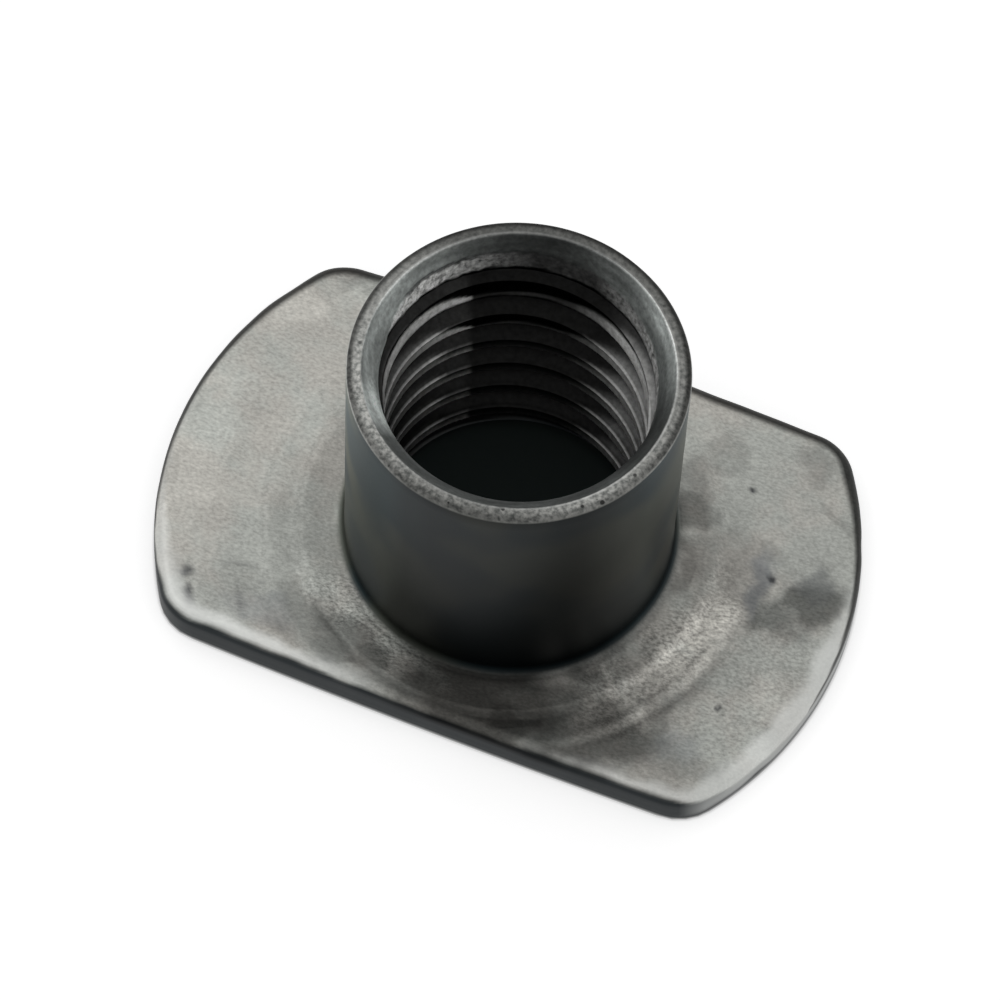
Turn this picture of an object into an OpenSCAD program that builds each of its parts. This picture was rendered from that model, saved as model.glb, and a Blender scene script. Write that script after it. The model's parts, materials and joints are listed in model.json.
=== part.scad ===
// Tee nut drawn from one piece of steel sheet.
// A flange with two long flats and two round ends carries a thin barrel, tapped M10.
// Millimetres. The origin is the middle of the flange's underside, +Z runs up the barrel's axis,
// and the flats run along X.

/* [Barrel] */
// Outside diameter of the barrel
barrel_d = 11; // [10.4:0.05:13.5]
// Height of the barrel above the flange
barrel_h = 10.5; // [7:0.1:16]
// Radius of the worn outer edge of the rim
rim_round = 0.2; // [0.05:0.01:0.3]
// Radius where the barrel's foot meets the flange
foot_fillet = 0.35; // [0.1:0.05:1]

/* [Bore] */
// Bore between the thread's crests, the minor diameter of M10 x 1.5
thread_minor_d = 8.5; // [7:0.05:8.8]
// Diameter of the open mouth at the rim
mouth_d = 9.96; // [9.6:0.01:10.1]
// Diameter at the bottom of the mouth's gentle taper
mouth_neck_d = 9.7; // [9:0.05:9.8]
// Depth of the mouth's gentle taper
mouth_depth = 0.95; // [0.4:0.05:2]
// Depth of the long lead-in, from the gentle taper down to the full thread
lead_depth = 3.5; // [0.4:0.1:4]
// Radius on which the underside rolls up into the bore
throat_round = 1.1; // [0.4:0.05:1.2]

/* [Flange] */
// Length over the round ends, which are arcs of one circle about the barrel
flange_length = 23.7; // [19:0.1:30]
// Width over the middle of the two flats
flange_width = 15.1; // [12.6:0.1:18.5]
// Thickness of the sheet
flange_t = 1.25; // [1:0.05:2]
// How far each flat bows outwards between its ends
flat_bow = 0.13; // [0.05:0.01:0.3]
// Radius of the four corners
corner_round = 1.8; // [0.8:0.1:3]
// Radius of the rolled edge round the flange's upper face
edge_round = 0.4; // [0.2:0.05:0.6]
// Radius of the edge round the flange's underside
under_round = 0.15; // [0.05:0.01:0.3]

/* [Coined rings] */
// Diameter of the pad pressed up next to the barrel
pad_d = 14.2; // [12.4:0.1:15]
// Height of the pad above the ring round it
pad_h = 0.12; // [0.06:0.01:0.2]
// Diameter of the wide ring, which the flats cut off at the sides
ring_d = 16.5; // [15.4:0.1:18.5]
// Height of the wide ring above the flange
ring_h = 0.07; // [0.04:0.01:0.12]
// Run of the slope at the edge of the pad and of the ring
coin_slope = 0.25; // [0.1:0.05:0.4]

/* [Hidden] */
$fn = 256;
over = 1;

barrel_r = barrel_d / 2;
bore_r = thread_minor_d / 2;
mouth_r = mouth_d / 2;
neck_r = mouth_neck_d / 2;
nut_h = flange_t + barrel_h;
pad_top = flange_t + ring_h + pad_h;

// The bowed flats are arcs of two large circles, whose middles lie on the Y axis.
// Their radius is a round number, so that flats and corners meet without a sliver between them.
end_r = flange_length / 2;
half_w = flange_width / 2;
flat_reach = sqrt(end_r * end_r - half_w * half_w);
bow_exact_r = (flat_reach * flat_reach + flat_bow * flat_bow) / (2 * flat_bow);
bow_r = round(bow_exact_r * 10) / 10;
bow_mid = bow_r - half_w;

// Middle of the corner arc that touches the end circle and the bow of one flat from inside
corner_a = end_r - corner_round;
corner_b = bow_r - corner_round;
corner_y = (corner_b * corner_b - corner_a * corner_a - bow_mid * bow_mid) / (2 * bow_mid);
corner_x = sqrt(corner_a * corner_a - corner_y * corner_y);
to_end = [corner_x, corner_y] / corner_a;
to_flat = [corner_x, corner_y + bow_mid] / corner_b;

// The corner's middle is reached in a round step and a small one, which keeps every digit of it
function round_step(v) = [for (c = v) round(c * 100) / 100];
corner_mid = [corner_x, corner_y, 0];
corner_step = round_step(corner_mid);

// Section of a slab from its middle out to an edge that is rounded above and below
module edge_section(reach, t) {
    union() {
        square([reach - edge_round, t]);
        translate([0, under_round]) square([reach, t - under_round - edge_round]);
        square([reach - under_round, t - edge_round]);
        translate([reach - edge_round, t - edge_round]) circle(edge_round);
        translate([reach - under_round, under_round]) circle(under_round);
    }
}

// Round slab
module disc(r, t) {
    rotate_extrude() edge_section(r, t);
}

// The slice of a corner between the normals at the two ends of its arc
module corner_slice(t) {
    reach = corner_round * 3;
    translate([0, 0, -over])
        linear_extrude(t + 2 * over)
            polygon([[0, 0], to_end * reach, (to_end + to_flat) * reach, to_flat * reach]);
}

module at_corners() {
    for (x = [0, 1], y = [0, 1])
        mirror([x, 0, 0]) mirror([0, y, 0])
            translate(corner_step) translate(corner_mid - corner_step) children();
}

// Outline of the flange: two flats, round ends and round corners, with rolled edges all round
module slab(t) {
    difference() {
        intersection() {
            disc(end_r, t);
            translate([0, -bow_mid, 0]) disc(bow_r, t);
            translate([0, bow_mid, 0]) disc(bow_r, t);
        }
        at_corners() corner_slice(t);
    }
    at_corners() intersection() {
        disc(corner_round, t);
        corner_slice(t);
    }
}

// A low round step with a sloping edge, from the middle of the sheet up
module coined_step(d, low, high) {
    rotate_extrude()
        polygon([
            [0, flange_t / 2],
            [d / 2 + coin_slope / 2, flange_t / 2],
            [d / 2 + coin_slope / 2, low],
            [d / 2 - coin_slope / 2, high],
            [0, high]
        ]);
}

module flange() {
    slab(flange_t);
    intersection() {
        slab(flange_t + ring_h);
        coined_step(ring_d, flange_t, flange_t + ring_h);
    }
    intersection() {
        slab(pad_top);
        coined_step(pad_d, flange_t + ring_h, pad_top);
    }
}

// Barrel with a round-edged rim and a hollow fillet at its foot
module barrel() {
    rotate_extrude() {
        square([barrel_r, nut_h - rim_round]);
        square([barrel_r - rim_round, nut_h]);
        translate([barrel_r - rim_round, nut_h - rim_round]) circle(rim_round);
        difference() {
            translate([0, pad_top - foot_fillet]) square([barrel_r + foot_fillet, 2 * foot_fillet]);
            translate([barrel_r + foot_fillet, pad_top + foot_fillet]) circle(foot_fillet);
        }
    }
}

// Everything that is open along the axis: throat, threaded length, lead-in and mouth
module bore() {
    neck_z = nut_h - mouth_depth;
    rotate_extrude() {
        translate([0, -over]) square([bore_r, nut_h + 2 * over]);
        difference() {
            translate([0, -over]) square([bore_r + throat_round, over + throat_round]);
            translate([bore_r + throat_round, throat_round]) circle(throat_round);
        }
        polygon([
            [0, neck_z - lead_depth],
            [bore_r, neck_z - lead_depth],
            [neck_r, neck_z],
            [mouth_r, nut_h],
            [mouth_r, nut_h + over],
            [0, nut_h + over]
        ]);
    }
}

module tee_nut() {
    color("silver")
        difference() {
            union() {
                flange();
                barrel();
            }
            bore();
        }
}

tee_nut();
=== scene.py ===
# Tee nut: one piece of formed sheet steel with a tapped barrel.
# The part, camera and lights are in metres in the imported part's frame; the nut's sizes below are
# given in millimetres.
import json
import math

import bpy
import numpy as np
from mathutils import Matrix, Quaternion, Vector, noise


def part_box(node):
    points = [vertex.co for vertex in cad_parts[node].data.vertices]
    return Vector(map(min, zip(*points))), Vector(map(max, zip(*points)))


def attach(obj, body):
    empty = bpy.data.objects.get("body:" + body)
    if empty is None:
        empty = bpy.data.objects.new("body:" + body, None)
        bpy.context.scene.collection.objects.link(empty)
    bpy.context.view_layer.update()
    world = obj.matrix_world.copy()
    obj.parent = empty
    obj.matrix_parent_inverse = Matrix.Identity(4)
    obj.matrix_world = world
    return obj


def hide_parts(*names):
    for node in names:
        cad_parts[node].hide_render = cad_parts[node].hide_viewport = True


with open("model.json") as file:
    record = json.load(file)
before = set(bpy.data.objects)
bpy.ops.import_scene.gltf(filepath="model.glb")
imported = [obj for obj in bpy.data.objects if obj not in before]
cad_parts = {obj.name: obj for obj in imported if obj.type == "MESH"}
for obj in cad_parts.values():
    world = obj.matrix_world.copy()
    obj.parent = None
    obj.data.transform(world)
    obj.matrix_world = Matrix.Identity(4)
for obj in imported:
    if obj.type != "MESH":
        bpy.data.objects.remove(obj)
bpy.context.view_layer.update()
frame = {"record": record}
mm = 0.001
print("packed part loaded")

# Places in metres, lens and sensor in millimetres
cameraView = {
    "place": (0.02764, -0.08118, 0.16110),
    "aim": (-0.00074, 0.00106, 0.00067),
    "roll": 3.55,  # degrees, to the right side up
    "lens": 195.76,
    "sensor": 36,
    "reach": (0.01, 20),  # nearest and furthest seen, in metres
}


def addCamera(view):
    data = bpy.data.cameras.new("camera")
    data.lens = view["lens"]
    data.sensor_width = view["sensor"]
    data.clip_start, data.clip_end = view["reach"]
    camera = bpy.data.objects.new("camera", data)
    bpy.context.scene.collection.objects.link(camera)
    look = (Vector(view["aim"]) - Vector(view["place"])).to_track_quat("-Z", "Y")
    camera.location = view["place"]
    camera.rotation_mode = "QUATERNION"
    camera.rotation_quaternion = look @ Quaternion((0, 0, 1), math.radians(view["roll"]))
    bpy.context.scene.camera = camera


addCamera(cameraView)
print("camera placed")

# What a user would change on the pressed blank
blank = {
    "thickness": 1.25,
    "flatBow": 0.13,
    "cornerRound": 1.8,
    "edgeRound": 0.4,
    "underRound": 0.15,
    "throatRound": 1.1,
    "padRadius": 7.1,
    "padHeight": 0.12,
    "ringRadius": 8.25,
    "ringHeight": 0.07,
    "coinSlope": 0.34,
    "footFillet": 0.35,
    "rimRound": 0.2,
    "mouthRadius": 4.98,
    "neckRadius": 4.85,
    "mouthDepth": 0.95,
    "leadDepth": 3.5,
    "lipRound": 0.07,
    "wallShare": 0.6,  # how uneven the barrel's wall is against the flange's upper face
    "outlineDepth": 1.2,  # how far in from the outline its knocks are felt
    "tearDepth": 0.05,  # torn metal in the mouth, above the first thread
    "tearEdge": 0.03,
    # degrees round the axis and how torn the metal is there
    "tornTurns": ((45, 0), (88, 0.4), (112, 0.4), (130, 1), (165, 1), (178, 0)),
    # degrees round the axis and the height at which the smooth band in the mouth ends
    "bandFoot": ((0, 10.0), (30, 10.3), (60, 10.60), (90, 10.74), (122, 10.87), (134, 10.92),
                 (158, 11.0), (170, 10.75), (182, 10.3), (200, 10.0)),
    "mouthShift": 0.6,  # the mouth was pressed off centre, so its lead-in is narrow at one side
    "mouthShiftTurn": 105.0,
    "mouthShiftDepth": 1.1,
    # angle in degrees, width in degrees, depth: knocks in the outline
    "knocks": ((150.5, 3.0, 0.05), (20.0, 1.6, 0.04), (-24.0, 1.5, 0.03)),
    # the back left corner slopes away beyond a line that curves about the axis
    "cornerSlope": {
        "start": 10.15,
        "turn": 129.5,
        "bend": 0.05,
        "ends": (4.2, 2.2),
        "depth": 0.10,
        "run": 1.1,
    },
    # x, y, radius, depth: shallow dents in the upper face
    "dents": (
        (-9.25, -5.80, 0.28, 0.06),
        (-8.85, -6.55, 0.22, 0.05),
        (6.98, 4.40, 0.10, 0.05),
        (8.75, 1.55, 0.11, 0.06),
        (8.90, -3.70, 0.10, 0.05),
        (-7.10, -5.40, 0.25, 0.03),
    ),
}

# The mesh: points round the axis, and rows along each stretch of the section
density = {
    "columns": 496,
    "throat": 7,
    "underside": 8,
    "underEdge": 3,
    "outline": (0.33, 0.66, 1.0),  # shares of its height
    "edge": 7,
    "top": 55,
    "foot": 5,
    "wall": 21,
    "rimRound": 5,
    "rim": 4,
    "lip": 3,
    "mouth": 16,
    "lead": 36,
    "bore": 4,
}

# Radii and heights between which a surface's own unevenness sets in
zoneEdges = {
    "topRadius": (5.9, 6.4),
    "topHeight": (0.75, 0.9),
    "wallRadius": (5.3, 5.45),
    "wallHeight": (1.9, 2.6),
    "rimInner": (5.0, 5.08),
    "rimOuter": (5.46, 5.36),
    "rimDepth": 0.05,
    "openingRadius": (5.04, 4.99),
    "openingHeight": (5.0, 7.0),
    "tornRadius": (5.1, 5.0),
    "tornHeight": (9.4, 10.0),
}

# Each use of the noise: size of its bumps, seed, and how far it reaches
waves = {
    "sheet": (1.6, 1, 0.012),
    "outline": (1.1, 3, 0.008),
    "rim": (0.22, 5, 0.012),
    "torn": (0.28, 9, 0.035),
    "tear": (0.35, 17, 0.05),
    "spotAlong": (1.1, 41, 0.35),
    "spotAlongFine": (0.35, 43, 0.12),
    "spotAcross": (1.1, 47, 0.35),
    "spotAcrossFine": (0.35, 53, 0.12),
    "polish": (0.9, 61, 0.13),
    "polishFine": (0.25, 67, 0.06),
    "arcs": (1.3, 71, 0.05),
    "cutWall": (0.7, 73, 0.02),
    "streaks": (1.4, 79, 0.30),
}
seedStride = 7.3
noiseSwing = 1.8

low, high = (np.array(corner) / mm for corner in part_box("tee_nut"))
mounts = {mount["name"]: mount["dims"] for mount in frame["record"]["mounts"]}
endR = (high[0] - low[0]) / 2
halfWidth = (high[1] - low[1]) / 2
nutHeight = high[2]
barrelR = mounts["barrel"]["r_mm"]
boreR = mounts["thread"]["r_mm"]
padTop = blank["thickness"] + blank["ringHeight"] + blank["padHeight"]

# The flats are arcs of two large circles whose middles lie on the Y axis
flatReach2 = endR ** 2 - halfWidth ** 2
bowR = (flatReach2 + blank["flatBow"] ** 2) / (2 * blank["flatBow"])
bowMid = bowR - halfWidth
cornerR = blank["cornerRound"]
cornerY = ((bowR - cornerR) ** 2 - (endR - cornerR) ** 2 - bowMid ** 2) / (2 * bowMid)
cornerX = math.sqrt((endR - cornerR) ** 2 - cornerY ** 2)
toEnd = np.array((cornerX, cornerY)) / (endR - cornerR)
toFlat = np.array((cornerX, cornerY + bowMid)) / (bowR - cornerR)


def outlineReach(angles, inset):
    # distance from the axis to the outline, moved in by inset
    c, s = np.abs(np.cos(angles)), np.abs(np.sin(angles))
    flat = np.sqrt((s * bowMid) ** 2 - bowMid ** 2 + (bowR - inset) ** 2) - s * bowMid
    along = c * cornerX + s * cornerY
    span = along ** 2 - cornerX ** 2 - cornerY ** 2 + (cornerR - inset) ** 2
    corner = along + np.sqrt(np.maximum(span, 0))
    turn = np.arctan2(s, c)
    endTurn = math.atan2(toEnd[1], toEnd[0])
    flatTurn = math.atan2(
        cornerY + (cornerR - inset) * toFlat[1], cornerX + (cornerR - inset) * toFlat[0]
    )
    return np.where(turn < endTurn, endR - inset, np.where(turn > flatTurn, flat, corner))


def edgeGap(x, y):
    # how far a point lies inside the outline
    x, y = np.abs(x), np.abs(y)
    gap = np.minimum(endR - np.hypot(x, y), bowR - np.hypot(x, y + bowMid))
    dx, dy = x - cornerX, y - cornerY
    inCorner = (toEnd[0] * dy - toEnd[1] * dx > 0) & (dx * toFlat[1] - dy * toFlat[0] > 0)
    return np.where(inCorner, cornerR - np.hypot(dx, dy), gap)


def smooth(low, high, value):
    t = np.clip((value - low) / (high - low), 0, 1)
    return t * t * (3 - 2 * t)


def bumps(x, y, z, use):
    # smooth noise between about -1 and 1
    size, seed = waves[use][:2]
    places = zip(np.ravel(x) / size, np.ravel(y) / size, np.ravel(z) / size + seed * seedStride)
    return np.array([noise.noise(place) for place in places]).reshape(np.shape(x)) * noiseSwing


def wander(x, y, z, use):
    return waves[use][2] * bumps(x, y, z, use)


def inward(x, y, z, use):
    # for surfaces that only ever wander towards the steel, by up to twice the reach
    return waves[use][2] * np.clip(1 + bumps(x, y, z, use), 0, 2)


def pastSlope(x, y, run):
    # 0 inside the line where the back left corner starts to fall, 1 a run further out
    slope = blank["cornerSlope"]
    c, s = math.cos(math.radians(slope["turn"])), math.sin(math.radians(slope["turn"]))
    along = np.abs(y * c - x * s)
    beyond = x * c + y * s + slope["bend"] * along ** 2 - slope["start"]
    return smooth(0, run, beyond) * smooth(*slope["ends"], along)


def topHeight(x, y):
    r = np.hypot(x, y)
    half = blank["coinSlope"] / 2
    z = np.full_like(r, blank["thickness"])
    z += blank["ringHeight"] * (1 - smooth(-half, half, r - blank["ringRadius"]))
    z += blank["padHeight"] * (1 - smooth(-half, half, r - blank["padRadius"]))
    for cx, cy, size, depth in blank["dents"]:
        z -= depth * np.exp(-((x - cx) ** 2 + (y - cy) ** 2) / (2 * size ** 2))
    slope = blank["cornerSlope"]
    return z - slope["depth"] * pastSlope(x, y, slope["run"])


def lineSteps(count):
    # shares of a straight stretch, without its first point
    return np.linspace(0, 1, count + 1)[1:]


def arcSteps(count):
    # turns round a quarter circle, without its first point
    return np.radians(np.linspace(0, 90, count + 1))[1:]


def flangeRows(angles):
    # from the foot of the bore out along the underside, round the edge and in over the top
    b, throat, under, edgeRound = blank, blank["throatRound"], blank["underRound"], blank["edgeRound"]
    cos, sin = np.cos(angles), np.sin(angles)
    rows = [(boreR, throat)]
    for a in arcSteps(density["throat"]):
        rows.append((boreR + throat * (1 - math.cos(a)), throat * (1 - math.sin(a))))
    start, end = boreR + throat, outlineReach(angles, under)
    rows += [(start + (end - start) * f, 0) for f in lineSteps(density["underside"])]
    for a in arcSteps(density["underEdge"]):
        rows.append((outlineReach(angles, under * (1 - math.sin(a))), under * (1 - math.cos(a))))
    edge = outlineReach(angles, 0.0)
    rise = topHeight(edge * cos, edge * sin) - edgeRound
    rows += [(edge, under + (rise - under) * f) for f in density["outline"]]
    for a in arcSteps(density["edge"]):
        r = outlineReach(angles, edgeRound * (1 - math.cos(a)))
        rows.append((r, topHeight(r * cos, r * sin) - edgeRound * (1 - math.sin(a))))
    start, end = outlineReach(angles, edgeRound), barrelR + b["footFillet"]
    for f in lineSteps(density["top"]):
        r = start + (end - start) * f
        rows.append((r, topHeight(r * cos, r * sin)))
    return rows


def barrelRows():
    # up the wall, over the rim and down the mouth and its lead-in into the bore
    b, foot, rim, lip = blank, blank["footFillet"], blank["rimRound"], blank["lipRound"]
    mouth, neck = b["mouthRadius"], b["neckRadius"]
    rows = []
    for a in arcSteps(density["foot"]):
        rows.append((barrelR + foot * (1 - math.sin(a)), padTop + foot * (1 - math.cos(a))))
    start, end = padTop + foot, nutHeight - rim
    rows += [(barrelR, start + (end - start) * f) for f in lineSteps(density["wall"])]
    for a in arcSteps(density["rimRound"]):
        rows.append((barrelR - rim * (1 - math.cos(a)), nutHeight - rim * (1 - math.sin(a))))
    start, end = barrelR - rim, mouth + lip
    rows += [(start + (end - start) * f, nutHeight) for f in lineSteps(density["rim"])]
    for a in arcSteps(density["lip"]):
        rows.append((mouth + lip * (1 - math.sin(a)), nutHeight - lip * (1 - math.cos(a))))
    start, neckZ = nutHeight - lip, nutHeight - b["mouthDepth"]
    for f in lineSteps(density["mouth"]):
        rows.append((mouth + (neck - mouth) * f, start + (neckZ - start) * f))
    for f in lineSteps(density["lead"]):
        rows.append((neck + (boreR - neck) * f, neckZ - b["leadDepth"] * f))
    start, end = neckZ - b["leadDepth"], b["throatRound"]
    rows += [(boreR, start + (end - start) * f) for f in lineSteps(density["bore"])[:-1]]
    return rows


def knockOutline(angles, r, z):
    # pushes the outline in where it was knocked, and less so further from it
    turn = np.degrees(angles)
    push = np.zeros_like(angles)
    for at, width, depth in blank["knocks"]:
        off = (turn - at + 180) % 360 - 180
        push += depth * np.exp(-(off ** 2) / (2 * width ** 2))
    near = smooth(blank["outlineDepth"], 0.0, outlineReach(angles, 0.0) - r)
    drift = inward(np.cos(angles) * r, np.sin(angles) * r, z, "outline")
    return r - near * (push + drift)


def around(turn, table):
    # reads a table of (degrees, value) that runs once round the axis
    at, value = np.array(table).T
    return np.interp(turn % 360, at, value, period=360)


def mouthOffset(turn, z):
    # how far the off-centre mouth leaves its wall standing in
    away = (1 - np.cos(np.radians(turn - blank["mouthShiftTurn"]))) / 2
    return blank["mouthShift"] * away * smooth(nutHeight, nutHeight - blank["mouthShiftDepth"], z)


def openingReach(turn, z):
    # radius of the bore and its mouth before the thread is cut
    neckZ = nutHeight - blank["mouthDepth"]
    heights = (neckZ - blank["leadDepth"], neckZ, nutHeight)
    reach = np.interp(z, heights, (boreR, blank["neckRadius"], blank["mouthRadius"]))
    return np.maximum(reach - mouthOffset(turn, z), boreR)


def tearHeight(x, y):
    # the ragged line in the mouth where the smooth band ends
    turn = np.degrees(np.arctan2(y, x)) % 360
    rise = around(turn, blank["bandFoot"])
    return rise + wander(x, y, 0 * x, "tear")


def gridMesh(name, x, y, z):
    # closes a grid of rows and columns into a ring
    rows, columns = x.shape
    index = np.arange(rows * columns).reshape(rows, columns)
    nextRow, nextColumn = np.roll(index, -1, 0), np.roll(index, -1, 1)
    corner = np.roll(nextRow, -1, 1)
    faces = np.stack((index, nextColumn, corner, nextRow), -1).reshape(-1, 4)
    mesh = bpy.data.meshes.new(name)
    points = np.stack((x, y, z), -1).reshape(-1, 3) * mm
    mesh.from_pydata(points.tolist(), [], faces.tolist())
    mesh.validate()
    return mesh


def unevenSteel(angles, r, z):
    # the upper face, the barrel's wall and the rim wander a little, always towards the steel
    x, y, e = r * np.cos(angles), r * np.sin(angles), zoneEdges
    sag, rimSag = inward(x, y, z, "sheet"), inward(x, y, z, "rim")
    onTop = smooth(*e["topHeight"], z) * smooth(*e["topRadius"], r)
    onWall = smooth(*e["wallRadius"], r) * smooth(*e["wallHeight"], z)
    onRim = smooth(*e["rimInner"], r) * smooth(*e["rimOuter"], r)
    onRim = onRim * smooth(nutHeight - e["rimDepth"], nutHeight, z)
    return r - sag * onWall * blank["wallShare"], z - sag * onTop - onRim * rimSag


def tornMouth(angles, x, y, r, z):
    # shifts the mouth off centre; below the tear its metal is rough and stands in a little
    turn, e = np.degrees(angles) % 360, zoneEdges
    opening = smooth(*e["openingRadius"], r) * smooth(*e["openingHeight"], z)
    shifted = np.maximum(r - mouthOffset(turn, z) * opening, np.minimum(r, boreR))
    r = np.where(opening > 0, shifted, r)
    tear = tearHeight(x, y)
    torn = around(turn, blank["tornTurns"]) * smooth(*e["tornRadius"], r) * smooth(*e["tornHeight"], z)
    torn = torn * smooth(tear + blank["tearEdge"], tear - blank["tearEdge"], z)
    return r - torn * (blank["tearDepth"] + wander(x, y, z, "torn"))


def makeBlank():
    angles = np.linspace(0, 2 * math.pi, density["columns"], endpoint=False)
    rows = flangeRows(angles) + barrelRows()
    r, z = (np.array([0 * angles + row[i] for row in rows]) for i in (0, 1))
    angles = np.broadcast_to(angles, r.shape)
    r = knockOutline(angles, r, z)
    x, y = r * np.cos(angles), r * np.sin(angles)
    r, z = unevenSteel(angles, r, z)
    r = tornMouth(angles, x, y, r, z)
    return gridMesh("blank", r * np.cos(angles), r * np.sin(angles), z)


blankMesh = makeBlank()
print("blank formed:", len(blankMesh.polygons), "faces")

# What a user would change on the thread
tap = {
    "pitch": 1.5,
    "majorRadius": 5.0,
    "startHeight": -0.6,
    "startAngle": 144.8,
    "turns": 7.45,
    "runOut": 0.4,  # turns over which the groove fades at the mouth
    "runOutScale": 0.1,
    "stepsPerTurn": 120,
    "profilePoints": 25,
    "span": 0.96,  # width of the swept groove as a share of the pitch
    # across from the middle to the edge of a pitch, against depth: root, flank, rounded crest
    "groove": ((0.0, 1.0), (0.13, 1.0), (0.19, 0.95), (0.64, 0.34), (0.70, 0.28), (0.76, 0.25),
               (0.80, 0.0), (1.0, 0.0)),
    "openShare": 0.25,  # the groove curve's lowest part, which stays in the open bore
    "paintedTurns": 7.35,  # the last crest is looked for below this turn
}


def linkNodes(tree, *pairs):
    for fromSocket, toSocket in pairs:
        tree.links.new(fromSocket, toSocket)


def setCurve(node, points):
    # a float curve with straight runs between its points
    curve = node.mapping.curves[0]
    while len(curve.points) < len(points):
        curve.points.new(0.5, 0.5)
    for point, (x, y) in zip(curve.points, points):
        point.location = (x, y)
        point.handle_type = "VECTOR"
    node.mapping.update()


def mathNode(tree, operation, a, b=None, c=None):
    node = tree.nodes.new("ShaderNodeMath")
    node.operation = operation
    for socket, value in zip(node.inputs, (a, b, c)):
        if isinstance(value, bpy.types.NodeSocket):
            tree.links.new(value, socket)
        elif value is not None:
            socket.default_value = value
    return node.outputs[0]


def threadPath(tree, given):
    # the helix up the bore
    add = tree.nodes.new
    spiral, place = add("GeometryNodeCurveSpiral"), add("GeometryNodeTransform")
    upright = add("GeometryNodeSetCurveNormal")
    upright.mode = "Z_UP"
    spiral.inputs["Reverse"].default_value = True  # a right-hand thread
    lift, turn = add("ShaderNodeCombineXYZ"), add("ShaderNodeCombineXYZ")
    linkNodes(
        tree,
        (given["Steps Per Turn"], spiral.inputs["Resolution"]),
        (given["Turns"], spiral.inputs["Rotations"]),
        (given["Minor Radius"], spiral.inputs["Start Radius"]),
        (given["Minor Radius"], spiral.inputs["End Radius"]),
        (mathNode(tree, "MULTIPLY", given["Turns"], given["Pitch"]), spiral.inputs["Height"]),
        (given["Start Height"], lift.inputs["Z"]),
        (mathNode(tree, "RADIANS", given["Start Angle"]), turn.inputs["Z"]),
        (spiral.outputs[0], place.inputs["Geometry"]),
        (lift.outputs[0], place.inputs["Translation"]),
        (turn.outputs[0], place.inputs["Rotation"]),
        (place.outputs[0], upright.inputs[0]),
    )
    return upright.outputs[0]


def grooveSection(tree, given):
    # a line across the groove, pushed out to the depth that the curve gives
    add = tree.nodes.new
    line, shape = add("GeometryNodeMeshLine"), add("GeometryNodeSetPosition")
    toCurve, close = add("GeometryNodeMeshToCurve"), add("GeometryNodeSetSplineCyclic")
    index, depth, at = add("GeometryNodeInputIndex"), add("ShaderNodeFloatCurve"), add("ShaderNodeCombineXYZ")
    close.inputs["Cyclic"].default_value = True
    setCurve(depth, tap["groove"])
    last = mathNode(tree, "SUBTRACT", given["Profile Points"], 1.0)
    along = mathNode(tree, "DIVIDE", index.outputs[0], last)
    signed = mathNode(tree, "MULTIPLY_ADD", along, 2.0, -1.0)
    across = mathNode(tree, "MULTIPLY", signed, mathNode(tree, "MULTIPLY", given["Pitch"], tap["span"] / 2))
    share = mathNode(tree, "MULTIPLY", mathNode(tree, "ABSOLUTE", signed), tap["span"])
    cut = mathNode(tree, "SUBTRACT", given["Major Radius"], given["Minor Radius"])
    full = mathNode(tree, "DIVIDE", cut, 1 - tap["openShare"])
    deep = mathNode(tree, "MULTIPLY", mathNode(tree, "SUBTRACT", depth.outputs[0], tap["openShare"]), full)
    linkNodes(
        tree,
        (given["Profile Points"], line.inputs["Count"]),
        (share, depth.inputs["Value"]),
        (deep, at.inputs["X"]),
        (across, at.inputs["Y"]),
        (line.outputs[0], shape.inputs["Geometry"]),
        (at.outputs[0], shape.inputs["Position"]),
        (shape.outputs[0], toCurve.inputs[0]),
        (toCurve.outputs[0], close.inputs[0]),
    )
    return close.outputs[0]


def grooveScale(tree, given):
    # 1 along the groove, and less over its last part, where it grows shallow
    whole = tree.nodes.new("GeometryNodeSplineParameter").outputs["Factor"]
    left = mathNode(tree, "MULTIPLY", mathNode(tree, "SUBTRACT", 1.0, whole), given["Turns"])
    fade = tree.nodes.new("ShaderNodeMapRange")
    linkNodes(
        tree,
        (left, fade.inputs["Value"]),
        (given["Run Out"], fade.inputs["From Max"]),
        (given["Run Out Scale"], fade.inputs["To Min"]),
    )
    return fade.outputs[0]


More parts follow.
